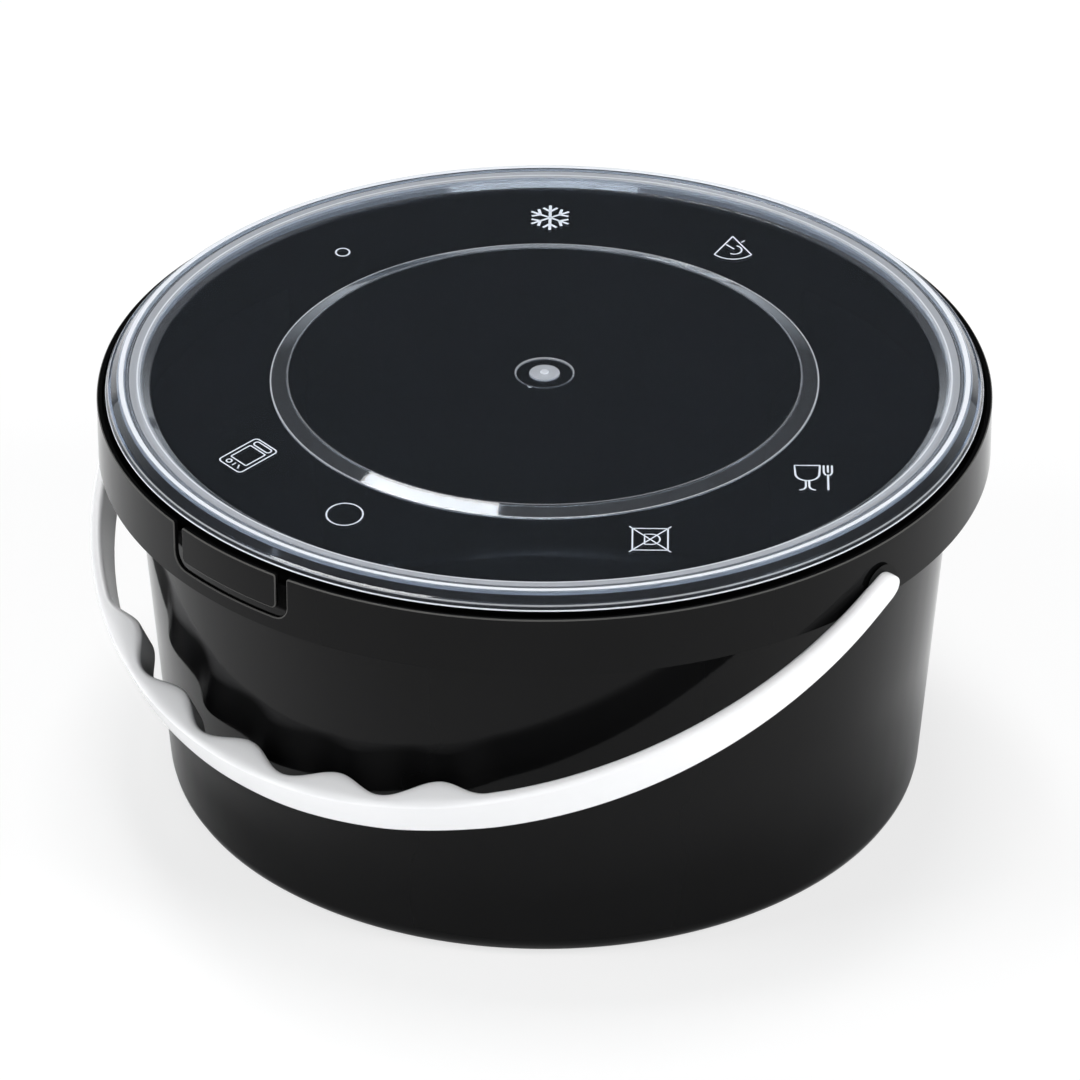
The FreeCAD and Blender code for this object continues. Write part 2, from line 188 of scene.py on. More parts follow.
def bent_plate(corners, full_turn):
    """Plate drawn flat in X and Z, bent round the bucket with X running along the collar.

    Its rounded edges are marked in a face layer, which the black plastic reads to paint a pale highlight
    on them.
    """
    plate = section(corners, closed=True)
    highlight_layer = plate.faces.layers.float.new("painted_highlight_edge")
    bmesh.ops.contextual_create(plate, geom=plate.edges[:])
    grown = bmesh.ops.extrude_face_region(plate, geom=plate.faces[:])["geom"]
    moved = [part for part in grown if isinstance(part, bmesh.types.BMVert)]
    bmesh.ops.translate(plate, vec=(0, collar_wall * mm, 0), verts=moved)
    half_turn = math.pi * collar_radius * mm
    if full_turn:
        ends = [face for face in plate.faces
                if all(abs(abs(vert.co.x) - half_turn) < 1e-6 for vert in face.verts)]
        bmesh.ops.delete(plate, geom=ends, context="FACES_ONLY")
    bmesh.ops.recalc_face_normals(plate, faces=plate.faces)
    rims = [edge for edge in plate.edges
            if not edge.is_boundary and edge.calc_face_angle(0) > edge_angle]
    rounded = bmesh.ops.bevel(plate, geom=rims, offset=edge_rounding * mm, offset_type="OFFSET",
                              segments=3, profile=0.5, affect="EDGES", material=-1)
    # The rounded edges are marked, so that a pale highlight is painted on them.
    for face in rounded["faces"]:
        face[highlight_layer] = 1.0
    step = 2 * half_turn / turn_steps
    reach = max(vert.co.x for vert in plate.verts)
    count = math.ceil(reach / step)
    for number in range(-count, count):
        bmesh.ops.bisect_plane(plate, geom=plate.verts[:] + plate.edges[:] + plate.faces[:],
                               dist=same_place, plane_co=((number + 0.5) * step, 0, 0),
                               plane_no=(1, 0, 0))
    for vert in plate.verts:
        radius = collar_radius * mm - vert.co.y
        turn = vert.co.x / (collar_radius * mm) - math.pi / 2
        vert.co = (radius * math.cos(turn), radius * math.sin(turn), vert.co.z)
    bmesh.ops.remove_doubles(plate, verts=plate.verts, dist=1e-6)
    bmesh.ops.recalc_face_normals(plate, faces=plate.faces)
    return plate


def collar():
    half_turn = math.pi * collar_radius
    half_slot = tab_width / 2 + side_slot
    slot_bottom = collar_top - tab_height - bottom_slot
    slot_corner = tab_corner + bottom_slot
    return bent_plate([
        (-half_turn, collar_bottom, 0),
        (half_turn, collar_bottom, 0),
        (half_turn, collar_top, 0),
        (half_slot, collar_top, slot_lip),
        (half_slot, slot_bottom, slot_corner),
        (-half_slot, slot_bottom, slot_corner),
        (-half_slot, collar_top, slot_lip),
        (-half_turn, collar_top, 0),
    ], full_turn=True)


def tear_tab():
    half_tab = tab_width / 2
    tab_bottom = collar_top - tab_height
    return bent_plate([
        (-half_tab, tab_bottom, tab_corner),
        (half_tab, tab_bottom, tab_corner),
        (half_tab, collar_top, slot_lip),
        (-half_tab, collar_top, slot_lip),
    ], full_turn=False)


# ------------------------------------------------------------------ pivot seats and ribs
# The handle's ends turn in shallow round recesses in the collar, with a thicker boss behind each
# hole. Gussets under the flange, away from the tear tab, keep the collar stiff.

pivot_height = frame["joints"][0]["pos_m"][2] / mm
pin_radius = 3.0
hole_radius = 3.06
hole_depth = 6.0
boss_radius = 5.1
boss_length = 2.2
boss_overlap = 0.2         # how far a boss runs into the collar
recess_radius = 5.0
recess_depth = 1.3
recess_lip = 0.5
rib_count = 24
rib = 1.0
rib_drop_wall = 12.0
rib_drop_collar = 6.0
rib_overlap = 0.3          # how far a rib runs into the wall, the flange and the collar
tab_direction = 270        # degrees from +X
round_steps = 64
along_x = Matrix.Rotation(math.pi / 2, 4, "Y")


def cut_out(whole, cutter):
    """The shape that is left when a cutter is taken out of a whole; both are bmeshes."""
    pair = []
    for shape in (whole, cutter):
        mesh = bpy.data.meshes.new("cut")
        shape.to_mesh(mesh)
        shape.free()
        pair.append(bpy.data.objects.new("cut", mesh))
        bpy.context.scene.collection.objects.link(pair[-1])
    cut = pair[0].modifiers.new("cut", "BOOLEAN")
    cut.operation = "DIFFERENCE"
    cut.solver = "EXACT"
    cut.object = pair[1]
    bpy.context.view_layer.update()
    depsgraph = bpy.context.evaluated_depsgraph_get()
    result = bpy.data.meshes.new_from_object(pair[0].evaluated_get(depsgraph))
    left = bmesh.new()
    left.from_mesh(result)
    bpy.data.meshes.remove(result)
    for thing in pair:
        bpy.data.objects.remove(thing)
    return left


def at_pivot(side):
    """Place of something turned about +Z whose origin goes to the pivot axis's middle."""
    return Matrix.Translation((0, 0, pivot_height * mm)) @ Matrix.Scale(side, 4, (1, 0, 0)) @ along_x


def pivot_cutter():
    """Both holes with their recesses, each recess with a softened lip."""
    face = collar_radius - recess_depth
    both = bmesh.new()
    for side in (1, -1):
        tool = turned([
            (0, collar_radius - hole_depth, 0),
            (hole_radius, collar_radius - hole_depth, 0),
            (hole_radius, face, 0),
            (recess_radius, face, 0.3),
            (recess_radius, collar_radius - recess_lip, 0.3),
            (recess_radius + 3 * recess_lip, collar_radius + 2 * recess_lip, 0),
            (0, collar_radius + 2 * recess_lip, 0),
        ], closed=False, steps=round_steps)
        add_to(both, tool, at_pivot(side))
    bmesh.ops.recalc_face_normals(both, faces=both.faces)
    return both


def pivot_boss():
    """Thicker ring round a hole, on the collar's inner side."""
    inner = collar_radius - collar_wall - boss_length
    outer = collar_radius - collar_wall + boss_overlap
    return turned([
        (hole_radius, inner, 0),
        (boss_radius, inner, 0.4),
        (boss_radius, outer, 0),
        (hole_radius, outer, 0),
    ], steps=round_steps)


def gusset():
    """One rib, drawn across the gap between wall and collar and thickened along Y."""
    top = flange_under + rib_overlap
    bottom = flange_under - rib_drop_wall
    outer = collar_radius - collar_wall + rib_overlap
    plate = section([
        (wall_outside(flange_under) - rib_overlap, top, 0),
        (outer, top, 0),
        (outer, flange_under - rib_drop_collar, 0.4),
        (wall_outside(bottom) - rib_overlap, bottom, 0),
    ], closed=True)
    bmesh.ops.contextual_create(plate, geom=plate.edges[:])
    bmesh.ops.translate(plate, vec=(0, -rib * mm / 2, 0), verts=plate.verts)
    grown = bmesh.ops.extrude_face_region(plate, geom=plate.faces[:])["geom"]
    moved = [part for part in grown if isinstance(part, bmesh.types.BMVert)]
    bmesh.ops.translate(plate, vec=(0, rib * mm, 0), verts=moved)
    bmesh.ops.recalc_face_normals(plate, faces=plate.faces)
    return plate


# ------------------------------------------------------------------ black bucket plastic
# Polished black polypropylene. Its gloss is a little uneven, with faint flow marks from moulding, its
# moulded edges carry a painted highlight, a pale grey line in their colour, and the hollow behind the
# collar isn't polished.

flow_scale = 30.0          # per metre, as all the scales of noise are
flow_stretch = (1, 1, 0.35)
flow_roughness = 0.05
grain_scale = 400.0
grain_roughness = 0.01
grain_height = 0.01
wave_depth = 0.0001
refraction = 1.49

black = (0.0030, 0.0030, 0.0031, 1)
paler_black = (0.0050, 0.0050, 0.0052, 1)
# Pale grey painted on moulded edges as a highlight.
edge_highlight_grey = (0.08, 0.079, 0.076, 1)

class Shade:
    """A socket in a material's nodes: sums on it add Math nodes, and node() adds any other node."""

    def __init__(self, tree, socket=None):
        self.tree = tree
        self.socket = socket

    def node(self, kind, settings, values, output=0):
        made = self.tree.nodes.new(kind)
        for name, value in settings.items():
            setattr(made, name, value)
        for name, value in values.items():
            if isinstance(value, Shade):
                self.tree.links.new(value.socket, made.inputs[name])
            else:
                made.inputs[name].default_value = value
        return Shade(self.tree, made.outputs[output])

    def sum(self, operation, first, second):
        return self.node("ShaderNodeMath", {"operation": operation}, {0: first, 1: second})

    def __add__(self, other):
        return self.sum("ADD", self, other)

    def __sub__(self, other):
        return self.sum("SUBTRACT", self, other)

    def __rsub__(self, other):
        return self.sum("SUBTRACT", other, self)

    def __mul__(self, other):
        return self.sum("MULTIPLY", self, other)

    def __pow__(self, other):
        return self.sum("POWER", self, other)

    def __abs__(self):
        return self.node("ShaderNodeMath", {"operation": "ABSOLUTE"}, {0: self})

    def limited(self):
        """The same value kept between 0 and 1."""
        return self.node("ShaderNodeClamp", {}, {"Value": self})

    __radd__ = __add__
    __rmul__ = __mul__


def new_material(name):
    """A material with an empty node tree, its output, and a Shade to build on."""
    material = bpy.data.materials.new(name)
    material.use_nodes = True
    material.node_tree.nodes.clear()
    output = material.node_tree.nodes.new("ShaderNodeOutputMaterial")
    return material, Shade(material.node_tree), output


def noise(shade, scale, stretch=(1, 1, 1)):
    """Noise between 0 and 1 over the object's own coordinates."""
    place = shade.node("ShaderNodeTexCoord", {}, {}, output="Object")
    mapped = shade.node("ShaderNodeMapping", {}, {"Vector": place, "Scale": stretch})
    return shade.node("ShaderNodeTexNoise", {}, {"Vector": mapped, "Scale": scale, "Detail": 3.0})


def blend_colours(shade, amount, first, second):
    """From the first colour at an amount of 0 to the second at 1."""
    return shade.node("ShaderNodeMix", {"data_type": "RGBA"}, {0: amount, 6: first, 7: second}, output=2)


def radius_and_height(shade):
    """Distance from the bucket's axis and height above its base, in millimetres."""
    place = shade.node("ShaderNodeTexCoord", {}, {}, output="Object")
    x, y, z = (shade.node("ShaderNodeSeparateXYZ", {}, {"Vector": place}, output=axis)
               for axis in "XYZ")
    return (x * x + y * y) ** 0.5 * (1 / mm), z * (1 / mm)


def plastic(name, colour, other_colour, roughness, reflection, waviness,
            painted_edge_highlight=None, matt_inside=None):
    """Moulded plastic: two close colours, uneven gloss and a very shallow waviness.

    painted_edge_highlight is the paler colour painted on moulded edges as a highlight. matt_inside is
    the outer radius and the bottom, in millimetres, of the unpolished hollow behind the collar.
    """
    material, shade, output = new_material(name)
    flow = noise(shade, flow_scale, flow_stretch)
    grain = noise(shade, grain_scale)
    skin = blend_colours(shade, flow, colour, other_colour)
    # Moulded edges are painted a paler grey: a painted highlight.
    if painted_edge_highlight:
        edge = shade.node("ShaderNodeAttribute", {"attribute_name": "painted_highlight_edge"}, {}, output="Fac")
        skin = blend_colours(shade, edge, skin, painted_edge_highlight)
    bump = shade.node("ShaderNodeBump", {}, {"Strength": waviness, "Distance": wave_depth,
                                             "Height": flow + grain_height * grain})
    surface = shade.node("ShaderNodeBsdfPrincipled", {}, {
        "Base Color": skin,
        "Roughness": roughness + flow_roughness * flow + grain_roughness * grain,
        "Normal": bump,
        "IOR": refraction,
        "Specular IOR Level": reflection,
    })
    if matt_inside:
        radius, height = radius_and_height(shade)
        hollow_radius, hollow_bottom = matt_inside
        steepness = 4      # per millimetre, so that the collar's own face stays glossy
        hidden = (steepness * (hollow_radius - radius)).limited() * (height - hollow_bottom).limited()
        dull = shade.node("ShaderNodeBsdfPrincipled", {}, {
            "Base Color": colour, "Roughness": 0.8, "Specular IOR Level": 0.02})
        surface = shade.node("ShaderNodeMixShader", {}, {0: hidden, 1: surface, 2: dull})
    material.node_tree.links.new(surface.socket, output.inputs["Surface"])
    return material


black_plastic = plastic("bucket_plastic", black, paler_black, roughness=0.06, reflection=0.11,
                        waviness=0.2, painted_edge_highlight=edge_highlight_grey,
                        matt_inside=(collar_radius - 0.5, collar_bottom - 1))

bucket_shape = cup()
add_to(bucket_shape, cut_out(collar(), pivot_cutter()))
add_to(bucket_shape, tear_tab())
for side in (1, -1):
    add_to(bucket_shape, pivot_boss(), at_pivot(side))
slot_reach = math.degrees((tab_width / 2 + side_slot + rib) / collar_radius)
for number in range(rib_count):
    direction = (number + 0.5) * 360 / rib_count
    if abs(direction - tab_direction) > slot_reach:
        add_to(bucket_shape, gusset(), Matrix.Rotation(math.radians(direction), 4, "Z"))
bmesh.ops.recalc_face_normals(bucket_shape, faces=bucket_shape.faces)
bucket = piece_from(bucket_shape, "bucket_moulding", black_plastic)
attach(bucket, "bucket")
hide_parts("bucket")

# ------------------------------------------------------------------ lid
# The lid is clear polypropylene, pressed over the rim. Its panel has a raised disc with the mark
# of the moulding gate, and its edge has a land, a groove and a ridge that stack under the next foot.

lid_thickness = 1.1
lid_low, lid_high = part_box("lid")
lid_radius = lid_high.x / mm
lid_bottom = 129.4
lid_step = 1.9
lid_step_drop = 0.2
lid_step_start = 0.55      # where the step lies between the ridge and the lid's edge
lid_step_end = 0.75
land_top = rim_height + lid_thickness
panel_top = land_top - 2.5
disc_top = panel_top + 1.6
panel_radius = 117.2
land_inner = 120.5
land_outer = 123.6
groove = 0.6
ridge_inner = 124.9
ridge_outer = 126.5
ridge_top = lid_high.z / mm
disc_radius = 81.4
disc_slope = 5.0
seal = 0.9
seal_foot = lid_low.z / mm
seal_clearance = 0.15
gate_dish = 8.8
gate_depth = 0.4
gate_boss = 4.5
gate_dot = 1.2
gate_dot_rise = 0.5

haze_scale = 25.0
clear_tint = (0.70, 0.80, 0.94, 1)
paler_tint = (0.74, 0.83, 0.95, 1)
# Darker tint on the lid's outer skirt: painted shade.
skirt_shade_tint = (0.36, 0.43, 0.55, 1)
# Pale white of the painted highlights and of the milky haze on the lid.
haze_and_highlight_white = (0.86, 0.89, 0.94, 1)


def lid_shape():
    seal_outer = wall_inside(rim_height) - seal_clearance
    seal_foot_outer = wall_inside(seal_foot) - seal_clearance
    step_top = lid_bottom + lid_step
    edge_run = lid_radius - ridge_outer
    groove_middle = (land_outer + ridge_inner) / 2
    return turned([
        (0, disc_top + gate_dot_rise, 0),
        (gate_dot, disc_top + gate_dot_rise, 0.3),
        (gate_dot, disc_top, 0.1),
        (gate_boss, disc_top, 0.15),
        (gate_boss, disc_top - gate_depth, 0.1),
        (gate_dish - gate_depth, disc_top - gate_depth, 0.2),
        (gate_dish, disc_top, 0.15),
        (disc_radius - disc_slope, disc_top, 1.2),
        (disc_radius, panel_top, 0.6),
        (panel_radius, panel_top, 0.8),
        (land_inner, land_top, 0.6),
        (land_outer, land_top, 0.3),
        (groove_middle, land_top - groove, 0.3),
        (ridge_inner, ridge_top, 0.5),
        (ridge_outer, ridge_top, 0.5),
        (ridge_outer + lid_step_start * edge_run, step_top, 0.3),
        (ridge_outer + lid_step_end * edge_run, step_top - lid_step_drop, 0.3),
        (lid_radius, lid_bottom, 0.3),
        (lid_radius - lid_thickness, lid_bottom, 0.3),
        (ridge_outer - lid_thickness / 2, ridge_top - lid_thickness, 0.4),
        (ridge_inner + lid_thickness / 2, ridge_top - lid_thickness, 0.3),
        (groove_middle, rim_height, 0),
        (seal_outer, rim_height, 0),
        (seal_foot_outer, seal_foot, 0.2),
        (seal_foot_outer - seal, seal_foot, 0.3),
        (seal_outer - seal, rim_height, 0.4),
        (panel_radius + lid_thickness / 2, panel_top - lid_thickness, 0.8),
        (disc_radius, panel_top - lid_thickness, 0.8),
        (disc_radius - disc_slope, disc_top - lid_thickness, 0.8),
        (0, disc_top - lid_thickness, 0),
    ], closed=False)


def clear_plastic():
    """Clear polypropylene: a faint milky haze on its land and slopes, and painted highlights, pale
    white lines where light gathers in its edges, ridges and gate mark.
    """
    material, shade, output = new_material("lid_plastic")
    radius, _ = radius_and_height(shade)
    haze = noise(shade, haze_scale)

    def band(inner, outer, softness=0.15):
        """1 between two radii in millimetres, and 0 outside them."""
        middle, half = (inner + outer) / 2, (outer - inner) / 2
        return (1 + (half - abs(radius - middle)) * (1 / softness)).limited()

    disc_edge = disc_radius - disc_slope
    # Pale bands by radius: the narrow strong ones are painted highlights on edges, ridges and the gate
    # mark; the wide faint ones are a milky haze.
    haze_and_highlight_bands = [
        (0, gate_dot, 0.5),
        (gate_dot, gate_boss, 0.35),
        (gate_dish - 0.3, gate_dish, 0.3),
        (disc_edge - 0.2, disc_edge + 0.1, 0.15),
        (disc_edge, disc_radius, 0.025),
        (disc_radius - 0.2, disc_radius + 0.1, 0.4),
        (panel_radius, ridge_inner, 0.05),
        (ridge_outer, lid_radius, 0.015),
        (land_inner - 0.5, land_outer - 0.4, 0.3),
        (land_inner + 0.2, land_inner + 0.5, 0.35),
        (land_outer + 0.2, land_outer + 0.5, 0.15),
        (ridge_inner + 0.1, ridge_outer - 0.2, 0.85),
        (lid_radius - 1.1, lid_radius - 0.9, 0.35),
        (lid_radius - 0.25, lid_radius + 0.2, 0.95),
    ]
    haze_and_highlights = sum(band(inner, outer) * strength for inner, outer, strength in haze_and_highlight_bands)
    tint = blend_colours(shade, haze, clear_tint, paler_tint)
    # The lid's outer skirt, between the ridge and the edge, is tinted darker: painted shade.
    shaded_skirt = band(ridge_outer + 0.4, lid_radius - 0.4)
    clear = shade.node("ShaderNodeBsdfPrincipled", {}, {
        "Base Color": blend_colours(shade, shaded_skirt, tint, skirt_shade_tint),
        "Roughness": 0.02 + 0.03 * haze,
        "IOR": refraction,
        "Transmission Weight": 0.99,
    })
    # The pale shader of the painted highlights and the haze.
    haze_and_highlight_surface = shade.node("ShaderNodeBsdfPrincipled", {}, {
        "Base Color": haze_and_highlight_white,
        "Roughness": 0.2 + 0.1 * haze,
        "IOR": refraction,
    })
    surface = shade.node("ShaderNodeMixShader", {}, {0: haze_and_highlights.limited(), 1: clear, 2: haze_and_highlight_surface})
    material.node_tree.links.new(surface.socket, output.inputs["Surface"])
    return material


lid = piece_from(lid_shape(), "lid_moulding", clear_plastic())
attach(lid, "bucket")
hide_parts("lid")

# ------------------------------------------------------------------ marks on the lid
# Small line pictograms stand on the lid's panel in a ring: a snowflake, a dial, two plain rings, an
# oven, a crossed-out tray, and a glass with a fork. Each is a raised frosted line.

mark_ring = 98.0
mark_turn = math.radians(42.6)
mark_height = 1.17         # the marks are a little taller than wide
mark_line = 0.27
mark_relief = 0.25         # a line's height as a share of its width
arc_steps = 24
frost_grey = (0.62, 0.67, 0.75, 1)
paler_frost = (0.72, 0.77, 0.84, 1)


def arc(radius, start, end, centre=(0, 0)):
    """Points of an arc between two directions in degrees."""
    turns = [math.radians(start + (end - start) * step / arc_steps) for step in range(arc_steps + 1)]
    return [(centre[0] + radius * math.cos(turn), centre[1] + radius * math.sin(turn)) for turn in turns]


def ring(radius, centre=(0, 0)):
    return arc(radius, 0, 360, centre)


def turned_points(points, degrees):
    """The points turned about the mark's middle."""
    turn = math.radians(degrees)
    return [(x * math.cos(turn) - y * math.sin(turn), x * math.sin(turn) + y * math.cos(turn))
            for x, y in points]


def rounded_box(width, height, corner, centre=(0, 0)):
    x, y = width / 2 - corner, height / 2 - corner
    outline = []
    for sign_x, sign_y, start in ((1, 1, 0), (-1, 1, 90), (-1, -1, 180), (1, -1, 270)):
        middle = (centre[0] + sign_x * x, centre[1] + sign_y * y)
        outline += arc(corner, start, start + 90, middle)
    return outline + outline[:1]


def snowflake():
    lines = []
    for number in range(6):
        arm = [[(0, 0), (0, 6.6)]]
        arm += [[(0, 3.4), (side * 2.1, 5.3)] for side in (1, -1)]
        lines += [turned_points(line, 60 * number) for line in arm]
    return lines


def dial():
    rim = arc(7.6, 222, 318, (0, 1.2))
    return [[(0, 5.8)] + rim + [(0, 5.8)],
            arc(2.3, -120, 70, (0.4, -1.4)),
            [(-2.0, 1.4), (0.4, -1.0)],
            [(2.6, 2.6), (3.6, 3.6)]]


def oven():
    lines = [rounded_box(15.0, 9.4, 1.3), rounded_box(7.6, 6.6, 0.4),
             rounded_box(1.9, 6.6, 0.9, (5.7, 0)), ring(0.8, (-5.6, 2.0)),
             [(-6.4, -0.2), (-4.9, -0.2)], [(-6.4, -2.6), (-4.9, -1.6)]]
    return [turned_points(line, 45) for line in lines]


def crossed_tray():
    return [rounded_box(10.2, 10.2, 0.1), [(-6.0, 6.0), (6.0, -6.0)], [(-6.0, -6.0), (6.0, 6.0)],
            [(-1.6, -2.4), (-1.6, 2.4)] + arc(2.4, 90, -90, (0.4, 0)) + [(-1.6, -2.4)]]


def glass_and_fork():
    bowl = [(1.8, 6.2), (-5.6, 6.2)] + arc(3.4, 180, 270, (-2.0, 2.2)) + arc(3.4, 270, 360, (-1.8, 2.2))
    stem = [[(-2.4, -1.2), (-2.4, -3.6)] + arc(1.9, 0, -90, (-4.3, -3.8)),
            [(-1.4, -1.2), (-1.4, -3.6)] + arc(1.9, 180, 270, (0.5, -3.8))]
    prongs = [[(x, 6.2), (x, 2.8)] for x in (2.9, 4.1, 5.3)]
    handle_line = [(2.9, 2.8), (3.4, 1.6), (4.8, 1.6), (5.3, 2.8)]
    return [bowl + [(1.8, 6.2)]] + stem + prongs + [handle_line, [(4.1, 1.6), (4.1, -5.7)]]


def mark_shape():
    """All the marks as one mesh of round lines, flattened on the panel."""
    marks = bmesh.new()
    places = [
        (90, snowflake(), 1.7),
        (55, dial(), 1.0),
        (130, [ring(2.1)], 1.0),
        (209, oven(), 0.9),
        (235, [ring(5.3)], 0.9),
        (289, crossed_tray(), 0.9),
        (324, glass_and_fork(), 1.1),
    ]
    for direction, lines, weight in places:
        curve = bpy.data.curves.new("mark", "CURVE")
        curve.dimensions = "3D"
        curve.bevel_depth = mark_line * weight * mm
        curve.bevel_resolution = 1
        curve.use_fill_caps = True
        for line in lines:
            spline = curve.splines.new("POLY")
            spline.points.add(len(line) - 1)
            for point, (x, y) in zip(spline.points, line):
                point.co = (x * mm, y * mark_height * mm, 0, 1)
        drawn = bpy.data.objects.new("mark", curve)
        mesh = bpy.data.meshes.new_from_object(drawn)
        turn = math.radians(direction)
        middle = Vector((mark_ring * mm * math.cos(turn), mark_ring * mm * math.sin(turn), 0))
        mesh.transform(Matrix.Translation(middle) @ Matrix.Scale(mark_relief, 4, (0, 0, 1)))
        marks.from_mesh(mesh)
        bpy.data.objects.remove(drawn)
        bpy.data.curves.remove(curve)
        bpy.data.meshes.remove(mesh)
    bmesh.ops.rotate(marks, cent=(0, 0, 0), matrix=Matrix.Rotation(mark_turn, 3, "Z"),
                     verts=marks.verts)
    bmesh.ops.translate(marks, vec=(0, 0, panel_top * mm), verts=marks.verts)
    bmesh.ops.remove_doubles(marks, verts=marks.verts, dist=same_place)
    bmesh.ops.recalc_face_normals(marks, faces=marks.faces)
    return marks


def frosted_line():
    """Frosted polypropylene, which scatters light and so looks pale on the clear lid."""
    material, shade, output = new_material("lid_marks")
    surface = shade.node("ShaderNodeBsdfPrincipled", {}, {
        "Base Color": blend_colours(shade, noise(shade, 600.0), frost_grey, paler_frost),
        "Roughness": 0.55 + 0.1 * noise(shade, 900.0),
    })
    material.node_tree.links.new(surface.socket, output.inputs["Surface"])
    return material


marks = piece_from(mark_shape(), "lid_marks", frosted_line())
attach(marks, "bucket")

# ------------------------------------------------------------------ handle
# The bail handle is white polypropylene: a flat band bent round the bucket, wider towards the grip,
# whose inner edge has hollows for four fingers. Its ends carry pins that click through the collar.
# It is shaped level with its pivots at the origin, then hung at the tilt that it rests at.

band_inner = collar_radius + 0.4
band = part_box("handle")[1].x / mm - band_inner
leg = 7.6
end_width = 8.6
band_width = 13.5
widening_reach = 92.0
early_widening = 0.35      # how much of the widening comes near the ends
band_rounding = 1.5
grip_span = 58.0
grip_fingers = 4
grip_crest = 5.8
grip_trough = 0.3
grip_run_out = 7.0
pin_head_radius = 3.9
pin_head_length = 3.0
axial_clearance = 0.4
pin_taper = 0.6
pad_inset = 0.1
end_flat = 0.02
band_steps = 300
leg_steps = 14
travel = frame["joints"][0]["range_deg"][1]
rest_tilt = math.radians((travel - 180) / 2)

white = (0.88, 0.88, 0.89, 1)
paler_white = (0.91, 0.91, 0.915, 1)


def grip_inset(angle):
    """How far the band's inner edge stands inward at an angle in degrees from the grip's middle."""
    half_span = grip_span / 2
    beyond = (abs(angle) - half_span) / grip_run_out
    if beyond >= 1:
        return 0.0
    if beyond > 0:
        return grip_crest * (1 + math.cos(math.pi * beyond)) / 2
    wave = math.cos(2 * math.pi * angle * grip_fingers / grip_span)
    return (grip_crest + grip_trough) / 2 + wave * (grip_crest - grip_trough) / 2


def half_width(reach):
    """Half the band's width at a distance in front of the pivot axis; its end is round."""
    end = end_width / 2
    if reach < 0:
        return math.sqrt(max(end * end - reach * reach, 0.0))
    share = min(1.0, (reach + end) / (widening_reach + end))
    growth = share * (1 + early_widening - early_widening * share * share)
    return end + (band_width / 2 - end) * growth


def band_shape():
    """The band, spun from its cross-section about the arc's centre, with its legs drawn out."""
    half = band_width / 2
    bar = section([
        (-band_inner - band, -half, 0),
        (-band_inner, -half, 0),
        (-band_inner, half, 0),
        (-band_inner - band, half, 0),
    ], closed=True)
    bmesh.ops.bevel(bar, geom=bar.verts[:], offset=band_rounding * mm, offset_type="OFFSET",
                    segments=6, profile=0.5, affect="VERTICES", material=-1)
    bmesh.ops.contextual_create(bar, geom=bar.edges[:])
    start = bar.faces[:]
    swept = bmesh.ops.spin(bar, geom=start, cent=(0, 0, 0), axis=(0, 0, 1), angle=math.pi,
                           steps=band_steps)["geom_last"]
    last = [part for part in swept if isinstance(part, bmesh.types.BMFace)]
    for vert in bar.verts:
        radius = math.hypot(vert.co.x, vert.co.y)
        angle = math.degrees(math.atan2(vert.co.x, -vert.co.y))
        inward = (band_inner + band) * mm - radius
        grown = radius - grip_inset(angle) * mm * inward / (band * mm)
        vert.co.x *= grown / radius
        vert.co.y *= grown / radius
    bmesh.ops.translate(bar, vec=(0, -leg * mm, 0), verts=bar.verts)
    leg_run = leg + end_width / 2
    for end_faces in (start, last):
        for number in range(leg_steps):
            grown = bmesh.ops.extrude_face_region(bar, geom=end_faces)["geom"]
            bmesh.ops.delete(bar, geom=end_faces, context="FACES_ONLY")
            end_faces = [part for part in grown if isinstance(part, bmesh.types.BMFace)]
            level = -leg + leg_run * math.sin(math.pi / 2 * (number + 1) / leg_steps)
            for part in grown:
                if isinstance(part, bmesh.types.BMVert):
                    part.co.y = min(level, end_width / 2 - end_flat) * mm
    for vert in bar.verts:
        vert.co.z *= half_width(-vert.co.y / mm) / half
    bmesh.ops.remove_doubles(bar, verts=bar.verts, dist=1e-6)
    bmesh.ops.recalc_face_normals(bar, faces=bar.faces)
    return bar


def pivot_pin():
    """Pad in the recess, pin through the collar and the tapered head behind it, turned about X."""
    pad_face = collar_radius - recess_depth + axial_clearance
    shoulder = collar_radius - collar_wall - boss_length - axial_clearance
    pad_radius = end_width / 2 - pad_inset
    return turned([
        (0, shoulder - pin_head_length, 0),
        (pin_radius - pin_taper, shoulder - pin_head_length, 0.4),
        (pin_head_radius, shoulder, 0.3),
        (pin_radius, shoulder, 0),
        (pin_radius, pad_face, 0),
        (pad_radius, pad_face, 0.3),
        (pad_radius, band_inner + band / 2, 0),
        (0, band_inner + band / 2, 0),
    ], closed=False, steps=round_steps)


white_plastic = plastic("handle_plastic", white, paler_white, roughness=0.22, reflection=0.5,
                        waviness=0.25)
handle_shape = band_shape()
for side in (1, -1):
    add_to(handle_shape, pivot_pin(), Matrix.Scale(side, 4, (1, 0, 0)) @ along_x)
bmesh.ops.rotate(handle_shape, cent=(0, 0, 0), matrix=Matrix.Rotation(rest_tilt, 3, "X"),
                 verts=handle_shape.verts)
bmesh.ops.translate(handle_shape, vec=(0, 0, pivot_height * mm), verts=handle_shape.verts)
bmesh.ops.recalc_face_normals(handle_shape, faces=handle_shape.faces)
handle = piece_from(handle_shape, "handle_moulding", white_plastic)
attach(handle, "handle")
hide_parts("handle")

# ------------------------------------------------------------------ floor
# A plain pale floor, much larger than the bucket, and no part of the object. Where it is seen, also
# through the lid, it is lifted towards white and keeps the bucket's shadow.

